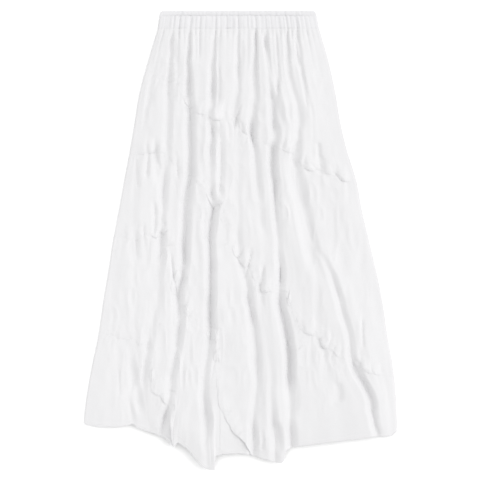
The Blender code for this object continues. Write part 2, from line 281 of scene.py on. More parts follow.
# Materials
COTTON_COLOUR = (0.705, 0.702, 0.710)
# a touch darker than the tiers' cotton: painted shade on the waistband
BAND_PAINTED_SHADE_COLOUR = (0.700, 0.697, 0.709)
THREAD_COLOUR = (0.740, 0.737, 0.745)
TONES = (0.965, 1.035)     # darkest and palest shade of a cloth's colour
THREAD_PITCH = 0.0011      # width of a pair of threads of the weave
SLUBS = (420.0, 2.0)       # thick places of the yarn: how many to the metre, and their detail
PATCHES = (26.0, 3.0)      # paler and greyer patches
SHEEN = 0.12
SHEEN_ROUGHNESS = 0.6
SPECULAR = 0.2
ROUGHNESS = (0.84, 0.96)   # between the slubs and on them
WEAVE_RELIEF = 0.25        # height of the weave, to that of the slubs
BUMP_STRENGTH = 0.25
BUMP_HEIGHT = 0.0005

# Floor, light and camera
FLOOR_SIZE = 8.0
FLOOR_LEVEL = -0.0002
FLOOR_COLOUR = (0.97, 0.97, 0.97, 1)
FLOOR_ROUGHNESS = 0.9
SKY_COLOUR = (1, 1, 1, 1)
SKY_STRENGTH = 1.03
WINDOW_PLACE = (4.2, 1.2, 2.84)    # soft light from the right
WINDOW_ANGLE = math.radians(38)
WINDOW_STRENGTH = 1.04
CARD_PLACE = (-0.85, 0.0, 0.35)    # and a faint one from the left
CARD_TARGET = (-0.20, 0, 0)
CARD_SIZE = (0.5, 1.2)
CARD_POWER = 1.0
CAMERA_DISTANCE = 3.2
CAMERA_AIM = 0.008         # level from which the distance is measured
VIEW_SHARE = 0.95625       # the skirt's length fills this share of the view
SENSOR = 36.0              # millimetres
CLIP_END = 20

# Outline of the front and height of its highest ridge
OUTLINE_COLUMNS = ("drop", "crest", "left", "right")
OUTLINE = (
    (35, 8, -161, 155), (98, 11, -180, 173), (167, 13, -198, 188), (216, 14, -206, 196),
    (275, 15, -216, 210), (333, 15, -227, 228), (392, 16, -238, 239), (451, 17, -249, 253),
    (510, 18, -258, 267), (569, 18, -268, 279), (637, 19, -278, 289), (706, 19, -292, 301),
    (765, 19, -302, 306), (814, 19, -307, 308), (902, 19, -307, 308),
)

# The eight long folds, from left to right: how each crevice runs down and how deep it is.
FOLD_COLUMNS = ("drop", "across", "depth")
FOLDS = (
    ((35, -150, 1), (98, -166, 1), (156, -180, 2), (200, -185, 2), (250, -193, 0.5),
     (329, -205, 1.5), (400, -203, 0.5), (458, -207, 3), (502, -207, 1), (588, -208, 1.5),
     (674, -205, 1), (717, -208, 1.5), (760, -216, 2), (804, -209, 1), (902, -206, 1)),
    ((35, -134, 2.5), (98, -137, 4), (156, -141, 6), (200, -139, 3), (250, -143, 3),
     (286, -144, 2), (329, -150, 5), (400, -151, 4), (458, -154, 5), (545, -161, 1.5),
     (610, -170, 1.5), (674, -181, 4.5), (717, -188, 4), (760, -188, 1), (820, -178, 0.5),
     (902, -178, 0.5)),
    ((35, -101, 3), (80, -101, 4), (120, -101, 6), (160, -101, 9), (200, -98, 7.5),
     (250, -98, 12), (290, -98, 14), (330, -99, 11), (372, -106, 10), (415, -107, 14),
     (458, -109, 12), (490, -108, 9), (520, -112, 7), (553, -120, 7), (590, -118, 8),
     (635, -120, 8), (675, -126, 5), (720, -134, 5), (765, -138, 5), (805, -149, 10),
     (845, -152, 5), (902, -152, 3)),
    ((35, -52, 1.5), (75, -53, 2), (113, -54, 3.5), (160, -54, 6), (200, -58, 2), (240, -55, 6.5),
     (290, -57, 5), (340, -57, 4), (385, -52, 8), (412, -56, 10), (446, -59, 10), (480, -58, 8),
     (550, -58, 8), (605, -58, 9), (640, -58, 7), (665, -60, 5), (700, -66, 3), (735, -70, 4),
     (765, -69, 7), (800, -64, 6), (830, -65, 3), (902, -65, 3)),
    ((35, -6, 1), (75, -6, 1.5), (113, -6, 2.5), (160, -5, 2.5), (200, -10, 4), (240, -3, 1.5),
     (330, -3, 1.5), (415, -3, 2), (458, -3, 3), (500, 2, 1.5), (540, 14, 3.5), (570, 17, 6),
     (613, 26, 4), (656, 32, 4), (700, 33, 3.5), (743, 32, 2.5), (775, 28, 1.5), (804, 25, 3),
     (850, 26, 6), (902, 26, 6)),
    ((35, 28, 3), (75, 28, 3.5), (115, 27, 4), (160, 28, 4), (205, 25, 5.5), (235, 22, 7.5),
     (280, 30, 4.5), (330, 33, 4.5), (372, 38, 2), (415, 42, 2.5), (460, 48, 1), (502, 46, 2),
     (545, 41, 3), (590, 46, 0.5), (660, 57, 0.5), (717, 61, 1.5), (760, 61, 2), (804, 65, 5),
     (838, 68, 6), (902, 68, 6)),
    ((35, 47, 3), (75, 51, 4.5), (113, 56, 2), (156, 62, 2), (180, 65, 9), (210, 66, 12.5),
     (243, 67, 7), (275, 63, 13), (300, 64, 13), (330, 66, 9), (372, 68, 6), (415, 71, 5),
     (458, 75, 4), (502, 78, 6), (545, 77, 6), (580, 79, 10), (615, 87, 13), (650, 93, 14),
     (685, 96, 13), (720, 96, 9), (760, 96, 4), (800, 97, 4), (838, 100, 8), (902, 104, 8)),
    ((35, 91, 1.5), (70, 92, 2), (105, 94, 2), (135, 99, 2.5), (165, 107, 3), (200, 117, 3),
     (243, 115, 3.5), (290, 110, 3), (330, 113, 2), (400, 130, 1), (458, 148, 0.5),
     (502, 172, 2), (545, 189, 5), (590, 199, 4.5), (645, 214, 4), (685, 219, 6), (708, 229, 11),
     (737, 245, 12), (765, 257, 10), (795, 261, 7), (830, 268, 9), (902, 280, 12)),
)

# Share of the crest height that each ridge reaches beside the fold on its left and beside the
# fold on its right. Narrow ridges stand up, and wide ones lie low.
RIDGE_SHOULDERS = (
    (0.16, 0.48), (0.52, 0.62), (0.66, 0.85), (0.92, 1.00), (1.00, 0.88),
    (0.80, 0.90), (0.88, 0.92), (0.80, 0.68), (0.68, 0.18),
)
RIDGES = len(RIDGE_SHOULDERS)

# The seams between the tiers and the hem, as (across, drop)
FRONT_SEAMS = (
    ((-190, 122), (-137, 143), (-108, 182), (-92, 198), (-53, 212), (-16, 218), (0, 235), (24, 249),
     (63, 271), (102, 282), (124, 310), (157, 318), (200, 331), (230, 341)),
    ((-220, 286), (-163, 276), (-141, 286), (-122, 318), (-98, 325), (-53, 378), (-33, 422),
     (-10, 482), (10, 504), (43, 549), (84, 553), (118, 629), (148, 637), (163, 658), (192, 680),
     (255, 712), (305, 722)),
    ((-252, 445), (-206, 451), (-176, 441), (-153, 449), (-135, 494), (-122, 565), (-98, 604),
     (-69, 627), (-53, 661), (-41, 775), (-16, 824), (10, 849), (24, 873), (60, 960)),
    ((-281, 637), (-202, 651), (-180, 690), (-173, 749), (-157, 757), (-141, 780), (-131, 857),
     (-100, 960)),
)
FRONT_HEM = (
    (-308, 806), (-304, 812), (-275, 816), (-235, 816), (-220, 813), (-211, 810), (-200, 818),
    (-176, 826), (-151, 835), (-141, 843), (-130, 855), (-122, 846), (-102, 859), (-78, 888),
    (-69, 897), (-60, 900), (-50, 900), (-47, 873), (-35, 869), (0, 867), (22, 871), (39, 875),
    (67, 885), (80, 887), (86, 882), (91, 861), (108, 854), (176, 846), (265, 835), (298, 834),
    (308, 825),
)
BACK_SEAMS = (
    ((-190, 122), (230, 341)),
    ((-220, 286), (305, 722)),
    ((-252, 445), (24, 858), (60, 960)),
    ((-281, 637), (-131, 838), (-60, 960)),
)
BACK_HEM = (
    (-308, 802), (-240, 806), (-200, 810), (-150, 826), (-110, 844), (-60, 862), (0, 862),
    (90, 850), (180, 838), (308, 820),
)

# Lobes of cloth that hang over the seams of the front: the place of each on its seam, half its
# width, how far it hangs and how far it swells.
SEAM_LOBES = (
    ((-122, 160, 10, 1, 0.6), (-104, 188, 11, 2, 2.4), (-80, 203, 14, 3, 3.2),
     (-48, 212, 15, 5, 4.4), (10, 243, 11, 3, 2.0), (56, 266, 10, 2, 1.6), (94, 279, 12, 2, 2.2),
     (118, 300, 8, 2, 1.2), (137, 312, 14, 3, 4.2), (170, 322, 11, 1, 1.4), (203, 334, 13, 4, 4.2)),
    ((-208, 283, 10, 1, 1.0), (-193, 280, 9, 3, 2.6), (-173, 279, 9, 4, 3.4),
     (-157, 277, 8, 2, 1.6), (-134, 298, 11, 2, 1.4), (-84, 342, 13, 1, 0.8),
     (-57, 375, 16, 7, 4.6), (-38, 412, 12, 2, 1.0), (-12, 478, 14, 3, 2.2),
     (4, 496, 15, 4, 3.4), (28, 524, 10, 2, 1.8),
     (46, 549, 14, 5, 3.6), (94, 575, 10, 3, 2.2), (133, 634, 13, 4, 3.4), (162, 657, 13, 5, 4.6),
     (186, 680, 9, 2, 1.8), (247, 710, 12, 3, 3.2), (268, 716, 10, 2, 2.2)),
    ((-218, 450, 9, 1, 0.8), (-200, 448, 9, 2, 1.8), (-168, 444, 9, 4, 3.4),
     (-150, 458, 10, 2, 1.4), (-129, 525, 11, 4, 2.8), (-122, 556, 14, 2, 1.4),
     (-107, 592, 12, 4, 3.2), (-62, 640, 12, 3, 2.2), (-51, 680, 11, 3, 2.2),
     (-44, 736, 13, 2, 0.8), (-39, 776, 11, 2, 1.0), (-26, 804, 12, 2, 0.6),
     (-10, 829, 12, 2, 0.8)),
    ((-237, 646, 10, 1, 0.8), (-198, 655, 10, 2, 1.4), (-176, 718, 12, 3, 2.2),
     (-168, 750, 12, 2, 1.6), (-150, 768, 13, 2, 2.0), (-133, 830, 14, 3, 1.8)),
)

# Smaller creases of the front: three places of the crease as (across, drop), its depth, and how
# far its left and right sides reach.
CREASES = (
    # under the waistband
    ((-126, 28), (-126, 52), (-127, 78), 1, 5, 7),
    ((-125, 84), (-123, 130), (-120, 180), 1, 10, 14),
    ((70, 36), (74, 96), (75, 164), 6, 8, 8),
    ((69, 160), (75, 190), (83, 220), 3, 8, 12),
    ((111, 20), (110, 62), (115, 108), 9, 6, 5),
    ((113, 90), (121, 127), (132, 188), 6, 6, 7),
    ((-44, 34), (-43, 70), (-43, 106), 2, 4, 4),
    ((-42, 108), (-41, 145), (-43, 180), 4, 5, 6),
    ((-87, 30), (-86, 60), (-87, 98), 2, 4, 4),
    ((-79, 30), (-79, 58), (-80, 92), 2, 4, 4),
    ((-172, 100), (-176, 140), (-179, 185), 5, 10, 12),
    # around the first seam
    ((-109, 172), (-108, 186), (-103, 198), 1, 6, 7),
    ((1, 186), (-5, 206), (-11, 228), 5, 5, 5),
    ((2, 218), (4, 228), (5, 240), 3, 4, 5),
    ((112, 258), (103, 282), (108, 308), 7, 6, 9),
    ((153, 260), (154, 274), (156, 290), 8, 7, 9),
    ((156, 286), (158, 302), (159, 320), 9, 9, 12),
    ((140, 300), (150, 312), (164, 322), 3, 7, 8),
    ((188, 320), (195, 328), (201, 336), 4, 6, 6),
    ((-40, 228), (-38, 310), (-42, 372), 8, 9, 12),
    # around the second seam, left to right
    ((-205, 288), (-203, 316), (-200, 346), 5, 5, 7),
    ((-179, 276), (-181, 302), (-183, 326), 7, 7, 7),
    ((-124, 280), (-123, 302), (-122, 328), 3, 6, 6),
    ((-166, 260), (-163, 282), (-157, 312), 4, 6, 6),
    ((-198, 284), (-197, 298), (-196, 312), 1, 5, 6),
    ((-168, 378), (-167, 408), (-168, 440), 8, 8, 10),
    ((-203, 434), (-203, 458), (-202, 486), 6, 6, 7),
    ((-188, 420), (-188, 444), (-189, 468), 3, 5, 5),
    ((-44, 362), (-40, 378), (-50, 396), 1, 6, 6),
    ((-76, 392), (-77, 408), (-72, 424), 1.5, 6, 7),
    ((22, 468), (18, 492), (11, 520), 3.5, 5, 6),
    ((78, 503), (79, 519), (79, 536), 5, 3, 4),
    ((50, 494), (42, 520), (36, 546), 2, 5, 8),
    ((50, 538), (55, 548), (63, 556), 1, 6, 6),
    ((122, 545), (122, 578), (122, 612), 1, 7, 8),
    ((150, 640), (156, 656), (160, 670), 2.5, 9, 10),
    ((185, 722), (185, 746), (181, 776), 1, 12, 14),
    ((240, 606), (240, 632), (241, 658), 4, 6, 6),
    # around the third seam
    ((-134, 482), (-130, 522), (-121, 562), 5, 5, 6),
    ((-138, 536), (-131, 566), (-126, 596), 1.5, 5, 7),
    ((-105, 520), (-104, 536), (-107, 554), 1.5, 5, 6),
    ((-104, 540), (-102, 576), (-104, 612), 1.5, 9, 10),
    ((-46, 670), (-50, 692), (-56, 718), 1.5, 6, 7),
    ((-107, 670), (-112, 706), (-111, 746), 1.5, 7, 9),
    # beside the long folds, where they are widest
    ((-130, 540), (-131, 580), (-130, 625), 2.5, 6, 7),
    ((-68, 392), (-69, 418), (-66, 450), 6, 7, 8),
    ((20, 590), (24, 645), (27, 710), 5, 12, 12),
    ((228, 684), (239, 712), (251, 742), 6, 10, 8),
    ((70, 806), (77, 836), (80, 866), 8, 12, 12),
    # broad soft hollows
    ((106, 305), (124, 400), (144, 500), 10, 20, 22),
    ((191, 730), (194, 748), (193, 766), 4, 12, 12),
    ((-168, 250), (-166, 290), (-160, 340), 5, 12, 12),
    ((-214, 690), (-206, 735), (-198, 780), 7, 14, 14),
    ((-237, 706), (-236, 728), (-236, 752), 3, 6, 7),
    ((-63, 720), (-66, 785), (-68, 850), 3, 18, 18),
    ((98, 715), (103, 750), (101, 790), 4, 14, 18),
    # at the hem
    ((48, 838), (45, 850), (43, 860), 3.5, 7, 7),
    ((27, 806), (28, 824), (27, 842), 4, 5, 6),
    ((-216, 768), (-211, 798), (-208, 824), 2, 7, 8),
)

# Creases of the back, in the same columns
BACK_CREASES = (
    ((-118, 60), (-122, 110), (-128, 170), 6, 9, 12),
    ((-70, 46), (-72, 92), (-70, 150), 5, 7, 9),
    ((-18, 52), (-14, 120), (-20, 190), 7, 9, 12),
    ((42, 48), (46, 84), (52, 132), 5, 8, 8),
    ((104, 70), (116, 128), (130, 196), 7, 10, 12),
    ((-150, 250), (-158, 330), (-160, 420), 8, 12, 14),
    ((-84, 268), (-80, 350), (-90, 452), 9, 14, 12),
    ((12, 300), (18, 352), (16, 410), 6, 9, 12),
    ((86, 330), (100, 430), (120, 540), 9, 16, 18),
    ((176, 380), (188, 430), (196, 500), 5, 12, 10),
    ((-196, 520), (-206, 600), (-204, 690), 8, 12, 16),
    ((-110, 540), (-118, 640), (-112, 750), 9, 14, 14),
    ((-30, 520), (-36, 580), (-34, 652), 6, 10, 10),
    ((52, 600), (60, 700), (56, 812), 9, 14, 16),
    ((158, 620), (172, 690), (190, 770), 8, 14, 12),
    ((-250, 700), (-256, 742), (-258, 790), 5, 10, 12),
    ((-8, 740), (-4, 786), (-6, 834), 6, 10, 9),
    ((236, 700), (246, 750), (260, 806), 7, 12, 14),
)

# Valleys of the waist gathers: across at the waist seam, depth, half width, and how far each
# runs down.
WAIST_GATHERS = (
    (-149, 1.8, 4.0, 40), (-140, 0.8, 4.0, 25), (-131, 1.6, 4.5, 60), (-120, 2.6, 4.5, 50),
    (-110, 1.2, 4.5, 30), (-98, 2.2, 5.0, 130), (-88, 1.3, 4.0, 45), (-79, 2.0, 5.0, 18),
    (-69, 0.7, 4.5, 40), (-60, 0.6, 4.0, 30), (-48, 2.4, 5.0, 120), (-39, 1.7, 4.5, 40),
    (-26, 1.6, 5.0, 26), (-15, 0.8, 4.5, 40), (-3, 2.2, 5.0, 110), (6, 0.6, 4.0, 30),
    (15, 1.1, 5.0, 45), (31, 3.2, 6.0, 130), (41, 0.8, 4.0, 35), (52, 2.2, 5.0, 80),
    (62, 1.3, 4.5, 45), (70, 0.8, 4.0, 50), (78, 1.8, 7.0, 70), (86, 0.9, 3.5, 30),
    (93, 2.2, 4.5, 40), (101, 1.3, 4.0, 45), (112, 3.2, 6.0, 120), (121, 0.8, 3.5, 30),
    (130, 1.8, 5.0, 45), (139, 0.9, 4.5, 40), (148, 1.0, 4.0, 35),
)


# Curves, noise and pleats

def blend(low, high, share):
    """The value that lies a share of the way from low to high."""
    return low + (high - low) * share


def ease(share):
    """From 0 to 1, level at both ends."""
    share = np.clip(share, 0, 1)
    return share * share * (3 - 2 * share)


def rise(share):
    """Quarter of an ellipse from 0 to 1: steep at its foot, level at its top."""
    return np.sqrt(1 - (1 - np.clip(share, 0, 1)) ** 2)


def smoothed(values, steps):
    """Moving average along a line of values."""
    kernel = np.ones(2 * steps + 1) / (2 * steps + 1)
    return np.convolve(np.pad(values, steps, mode="edge"), kernel, mode="valid")


def smooth_curve(places, values):
    """A function that reads a smooth curve through the points (places, values)."""
    places = np.asarray(places, float)
    values = np.asarray(values, float)
    slopes = np.gradient(values, places)

    def read(at):
        at = np.clip(at, places[0], places[-1])
        index = np.clip(np.searchsorted(places, at, side="right") - 1, 0, len(places) - 2)
        width = places[index + 1] - places[index]
        t = (at - places[index]) / width
        ends = (1 + 2 * t) * (1 - t) ** 2 * values[index] + t * t * (3 - 2 * t) * values[index + 1]
        turns = t * (1 - t) ** 2 * slopes[index] - t * t * (1 - t) * slopes[index + 1]
        return ends + turns * width

    return read


def table_curve(rows, names, name):
    """One column of a table, in metres, as a smooth curve over the drop."""
    column = names.index(name)
    return smooth_curve([row[0] * MM for row in rows], [row[column] * MM for row in rows])


def noise(a, b, seed):
    """Smooth noise from -1 to 1, one swing for about each unit of a and b."""
    lattice = np.random.default_rng(seed).uniform(-1, 1, (LATTICE, LATTICE))
    a, b = np.broadcast_arrays(np.asarray(a, float), np.asarray(b, float))
    a0, b0 = np.floor(a).astype(int), np.floor(b).astype(int)
    fa, fb = ease(a - a0), ease(b - b0)
    a0, b0, a1, b1 = a0 % LATTICE, b0 % LATTICE, (a0 + 1) % LATTICE, (b0 + 1) % LATTICE
    near = blend(lattice[a0, b0], lattice[a1, b0], fa)
    far = blend(lattice[a0, b1], lattice[a1, b1], fa)
    return blend(near, far, fb)


def waves(sizes, across, drop, seed):
    """Noise in waves of three sizes: width, length and height."""
    width, length, height = sizes
    return height * noise(across / width, drop / length, seed)


def folded_waves(sizes, across, drop, seed):
    """The same noise folded over, which makes narrow ridges round broad hollows."""
    width, length, height = sizes
    return height * (FOLDED_LEVEL - np.abs(noise(across / width, drop / length, seed)))


def swings(sizes, along, seed):
    """Noise along a line."""
    length, line, height = sizes
    return height * noise(along / length, line, seed)


def uneven(sizes, along, seed):
    """A size that swings between a least and a greatest one along a line."""
    length, line, low, high = sizes
    return blend(low, high, 0.5 + 0.5 * noise(along / length, line, seed))


def pleats(sizes, along, seed):
    """Rounded ridges with narrow valleys, unevenly spaced and uneven in strength."""
    pitch, level, height = sizes
    wander = swings(PLEAT_WANDER, along / pitch, seed)
    strength = PLEAT_MEAN + swings(PLEAT_STRENGTH, along / pitch, seed + 1)
    ridge = strength * np.abs(np.sin(np.pi * (along / pitch + wander))) ** PLEAT_POWER
    return (ridge - level) * height


# Lines of the folds

def wandering(guide, number):
    """A fold's line, with the small bends of soft cloth."""
    def read(drop):
        line = number * BENDS_APART
        bends = noise(drop / LONG_BENDS, line, WANDER_SEED)
        bends = bends + 0.5 * noise(drop / SHORT_BENDS, line, WANDER_SEED + 1)
        return guide(drop) + FOLD_WANDER * bends * ease((drop - BAND_DEPTH) / STRAIGHT_BELOW)

    return read


LEFT, RIGHT, CREST = (table_curve(OUTLINE, OUTLINE_COLUMNS, name)
                      for name in ("left", "right", "crest"))
DEPTHS = [table_curve(rows, FOLD_COLUMNS, "depth") for rows in FOLDS]
FOLD_LINES = [table_curve(rows, FOLD_COLUMNS, "across") for rows in FOLDS]
GUIDES = [LEFT] + [wandering(line, number) for number, line in enumerate(FOLD_LINES)] + [RIGHT]
DENSE = np.linspace(0, RIDGES, RIDGES * DENSE_STEPS + 1)


def pick(lines, index):
    """From a stack of arrays, the value of the one that index names at each point."""
    return np.take_along_axis(np.stack(lines), index[None], 0)[0]


def front_place(column, drop):
    """Place across of a column: column 3.25 lies a quarter of the way from fold 3 to fold 4."""
    column, drop = np.broadcast_arrays(np.asarray(column, float), np.asarray(drop, float))
    ridge = np.clip(column.astype(int), 0, RIDGES - 1)
    share = column - ridge
    lines = [guide(drop) for guide in GUIDES]
    return pick(lines, ridge) * (1 - share) + pick(lines, ridge + 1) * share


def back_place(column, drop):
    """The back has the front's folds, mirrored."""
    return GUIDES[0](drop) + GUIDES[-1](drop) - front_place(RIDGES - column, drop)


def edge_drop(points, across):
    """Drop of a seam or a hem at places across."""
    return np.interp(across, [p[0] * MM for p in points], [p[1] * MM for p in points])


def meeting_drop(points, columns, place):
    """Drop at which each column meets a seam or a hem, found by halving."""
    upper = np.zeros_like(columns)
    lower = np.full_like(columns, LENGTH + SEARCH_BELOW)
    for _ in range(HALVINGS):
        middle = (upper + lower) / 2
        short = middle < edge_drop(points, place(columns, middle))
        upper = np.where(short, middle, upper)
        lower = np.where(short, lower, middle)
    return (upper + lower) / 2


def world_y(drop):
    """Place along Y of a drop in metres."""
    return LENGTH / 2 - drop


# Folds and creases

def crevice_level(number, crest):
    """Height of the cloth between two ridges, before the depth of the crevice is taken off."""
    levels = [(RIDGE_SHOULDERS[max(n - 1, 0)][1] + RIDGE_SHOULDERS[min(n, RIDGES - 1)][0]) / 2
              for n in range(RIDGES + 1)]
    return crest * np.array(levels)[number]


def crevice_depths(drop, crest, seed):
    """Depth and sharpness of all crevices. The two sides have none."""
    none = 0 * drop
    depths, sharps = [none], [none]
    for number in range(1, RIDGES):
        line = number * WAVER_APART
        waver = noise(drop / LONG_WAVER, line, seed)
        waver = waver + SHORT_WAVER_SHARE * noise(drop / SHORT_WAVER, line, seed + 1)
        depth = FOLD_DEEPENING * DEPTHS[number - 1](drop) * (1 + DEPTH_WAVER * waver)
        depths.append(np.minimum(depth, crevice_level(number, crest)))
        sharps.append(SHARPNESS * np.clip(depth / SHARP_DEPTH, 0, 1))
    return depths + [none], sharps + [none]


def fold_form(column, drop, seed):
    """Height of the long folds."""
    ridge = np.clip(column.astype(int), 0, RIDGES - 1)
    share = column - ridge
    lines = [guide(drop) for guide in GUIDES]
    width = pick(lines, ridge + 1) - pick(lines, ridge)
    crest_height = CREST(drop)
    depths, sharps = crevice_depths(drop, crest_height, seed)
    widen = blend(NARROW_AT_WAIST, 1, ease((drop - BAND_DEPTH) / WIDE_BELOW_WAIST))
    shoulders = np.array(RIDGE_SHOULDERS)[ridge]

    def fall_beside(crevice, crest, distance, most_reach, base, slope):
        """How far the cloth falls from the crest of the ridge towards one of its crevices."""
        depth, sharp = pick(depths, crevice), pick(sharps, crevice)
        inner = (crevice > 0) & (crevice < RIDGES)
        fall = np.where(inner, crest - crevice_level(crevice, crest_height) + depth, 0)
        reached = distance / np.minimum(most_reach * width, widen * (base + slope * depth))
        climb = blend(ease(reached), rise(reached), sharp)
        core = depth * np.exp(-(distance / CORE_REACH) ** 2)
        return fall * (1 - climb) + CORE_SHARE * core * sharp / SHARPNESS

    left_crest, right_crest = crest_height * shoulders[..., 0], crest_height * shoulders[..., 1]
    left_fall = fall_beside(ridge, left_crest, share * width, FOLD_PEAK,
                            GENTLE_BASE, GENTLE_SLOPE)
    right_fall = fall_beside(ridge + 1, right_crest, (1 - share) * width, 1 - FOLD_PEAK,
                             STEEP_BASE, STEEP_SLOPE)
    return np.maximum(blend(left_crest, right_crest, share) - left_fall - right_fall, 0)


def crease_depth(creases, across, drop):
    """How deep the smaller creases cut into the cloth."""
    total = np.zeros_like(across)
    for start, middle, end, depth, left, right in creases:
        (x0, d0), (x1, d1), (x2, d2) = (np.array(point) * MM for point in (start, middle, end))
        t = (drop - d0) / (d2 - d0)
        t_middle = (d1 - d0) / (d2 - d0)
        bend = (x1 - x0 - (x2 - x0) * t_middle) / (t_middle * (t_middle - 1))
        aside = across - (x0 + (x2 - x0) * t + bend * t * (t - 1))
        reach = np.abs(aside) / np.where(aside < 0, left * MM, right * MM)
        fade = ease((t + CREASE_START) / CREASE_IN) * ease((CREASE_END - t) / CREASE_OUT)
        sharp = CREASE_SHARPNESS * min(max((BROAD_CREASE - left) / NARROWER, 0), 1)
        total += depth * MM * fade * (1 - blend(ease(reach), rise(reach), sharp))
    return total


def crinkles(fan, drop, seed):
    """Slow waves and lengthwise crinkles of thin cloth. fan is the place across that a column
    has lower down, so the crinkles fan out with the folds."""
    bend = waves(CRINKLE_BENDS, fan, drop, seed + 5)
    slow = waves(SLOW_WAVES, fan, drop, seed)
    middle = waves(MIDDLE_WAVES, fan + bend, drop, seed + 1)
    narrow = waves(NARROW_CRINKLES, fan + bend, drop, seed + 2)
    narrow = NARROW_WAVE * narrow + NARROW_RIDGE * (NARROW_LEVEL - np.abs(narrow))
    return slow + middle + narrow + waves(FINE_CRINKLES, fan - bend, drop, seed + 3)


def crumples(across, drop, seed):
    """Patches of soft crumples, more of them towards the hem and the left side."""
    share = CRUMPLED + CRUMPLED_LEFT * ease(0.5 - across / CRUMPLED_WIDTH)
    share = share + CRUMPLED_LOW * (drop / LENGTH - 0.5)
    patch = ease(share + waves(CRUMPLE_PATCHES, across, drop, seed))
    bend = waves(CRUMPLE_BENDS, across, drop, seed + 1)
    broad = folded_waves(BROAD_CRUMPLES, across + bend, drop, seed + 2)
    return (broad + folded_waves(SMALL_CRUMPLES, across - bend, drop, seed + 3)) * patch


def front_form(column, drop, across):
    """Height of the front above its lowest level."""
    height = fold_form(column, drop, FRONT_FOLD_SEED)
    room = np.maximum(height, LEAST_ROOM)
    carve = room * (1 - np.exp(-crease_depth(CREASES, across, drop) / room))
    unrest = crinkles(front_place(column, FAN_DROP), drop, FRONT_CRINKLE_SEED)
    unrest = unrest + crumples(across, drop, CRUMPLE_SEED)
    unrest *= np.clip(height / LOW_CLOTH, LEAST_WAVES, 1)
    return np.maximum(height - carve + unrest, 0)


def back_form(column, drop, across):
    """Height of the back before the skirt's weight presses it flat."""
    height = fold_form(RIDGES - column, drop, BACK_FOLD_SEED)
    unrest = crinkles(back_place(column, FAN_DROP), drop, BACK_CRINKLE_SEED) * BACK_WAVES
    return np.maximum(height + unrest - crease_depth(BACK_CREASES, across, drop), 0)


# Lines of the seams and the hem

class Side:
    """The front or the back: where its columns run, its heights, the way its outer face looks,
    the pitch and size of its mesh, and its edges."""

    def __init__(self, name, place, form, outward, pitch, most_faces, seed):
        self.name = name
        self.place = place
        self.form = form
        self.outward = outward
        self.pitch = pitch
        self.most_faces = most_faces
        self.seed = seed
        self.edges = []


class Edge:
    """A seam or a hem of one side, as tables over its columns. Its lean is its length for each
    metre across, and its turn the sine of its angle. It starts out as a hem, which isn't sewn."""

    def __init__(self, drop, across):
        self.drop = drop
        self.across = across
        self.along = np.append(0, np.cumsum(np.hypot(np.diff(across), np.diff(drop))))
        slope = np.clip(np.gradient(drop) / np.gradient(across), -STEEPEST, STEEPEST)
        slope = smoothed(slope, SLOPE_STEPS)
        self.lean = np.hypot(1, slope)
        self.turn = slope / self.lean
        self.hem_lean = np.minimum(self.lean, HEM_LEAN)
        self.swell = np.zeros_like(drop)
        self.sewn = np.zeros_like(drop)

    def read(self, name, columns):
        return np.interp(columns, DENSE, getattr(self, name))

    def swell_at(self, along):
        return np.interp(along, self.along, self.swell)


def edge_on(side, points):
    """The edge that follows a line of one side."""
    drop = meeting_drop(points, DENSE, side.place)
    return Edge(drop, side.place(DENSE, drop))


def waist_edge():
    """The seam under the waistband."""
    edge = Edge(np.full_like(DENSE, BAND_DEPTH), front_place(DENSE, BAND_DEPTH))
    edge.sewn = np.ones_like(DENSE)
    return edge


def seam_edge(side, points, lobes, hem):
    """The lower edge of a tier along its seam, with its lobes, as far as the hem."""
    seam = edge_on(side, points)
    line = seam.drop
    hang = np.zeros_like(line)
    for lobe_across, lobe_drop, half_width, lobe_hang, lobe_swell in lobes:
        nearest = np.argmin(np.hypot(seam.across - lobe_across * MM, line - lobe_drop * MM))
        reach = np.abs(seam.along - seam.along[nearest]) / (half_width * MM)
        bump = (1 - np.clip(reach, 0, 1) ** 2) ** LOBE_POWER
        hang = np.maximum(hang, lobe_hang * MM * bump)
        seam.swell = np.maximum(seam.swell, lobe_swell * MM * bump)
    ragged = sum(swings(sizes, seam.along, side.seed) for sizes in RAGGED_EDGE)
    hang = (hang - EDGE_LIFT) * np.minimum(seam.lean, LOBE_LEAN) + ragged
    above_hem = hem.drop - line
    running = above_hem > RUN_OUT
    if not running.all():
        running[np.argmin(running):] = False
    lobed = np.minimum(line + hang * ease(above_hem / LOBE_FADE), hem.drop - CLEAR_OF_HEM)
    seam.drop = np.where(running, lobed, hem.drop)
    seam.sewn = running * ease(above_hem / SEWN_FADE)
    seam.hem_lean = hem.hem_lean
    return seam


def random_lobes(side, points, seed):
    """Uneven lobes all along a seam of the back."""
    generator = np.random.default_rng(seed)
    line = edge_on(side, points)
    lobes = []
    at = FIRST_LOBE
    while at < line.along[-1]:
        half_width = BACK_LOBE_PITCH / 2 * generator.uniform(*LOBE_WIDTHS)
        at += half_width * MM
        hang, swell = (most * generator.uniform(LEAST_LOBE, 1) for most in BACK_LOBE)
        nearest = np.argmin(np.abs(line.along - at))
        lobes.append((line.across[nearest] / MM, line.drop[nearest] / MM,
                      half_width * LOBE_OVERLAP, hang, swell))
        at += half_width * MM
    return lobes


def lay_edges(side, seams, hem, lobes):
    """The edges of one side from the waist down, in side.edges."""
    hem_edge = edge_on(side, hem)
    side.edges = [waist_edge()]
    for points, seam_lobes in zip(seams, lobes):
        side.edges.append(seam_edge(side, points, seam_lobes, hem_edge))
    side.edges.append(hem_edge)


# Cloth beside the seams, the waist and the hem

def foot_along(edge, columns, distance, sign):
    """Place along an edge of the point of it that is nearest."""
    reach = SQUARE_REACH * edge.read("lean", columns) ** 3
    bounded = reach * (1 - np.exp(-distance / reach))
    return edge.read("along", columns) + sign * bounded * edge.read("turn", columns)


def edge_fade(distance):
    """What is left of a seam's swelling and gathers at a distance above or below it."""
    return 1 - ease((distance - EDGE_NEAR) / EDGE_FADE)


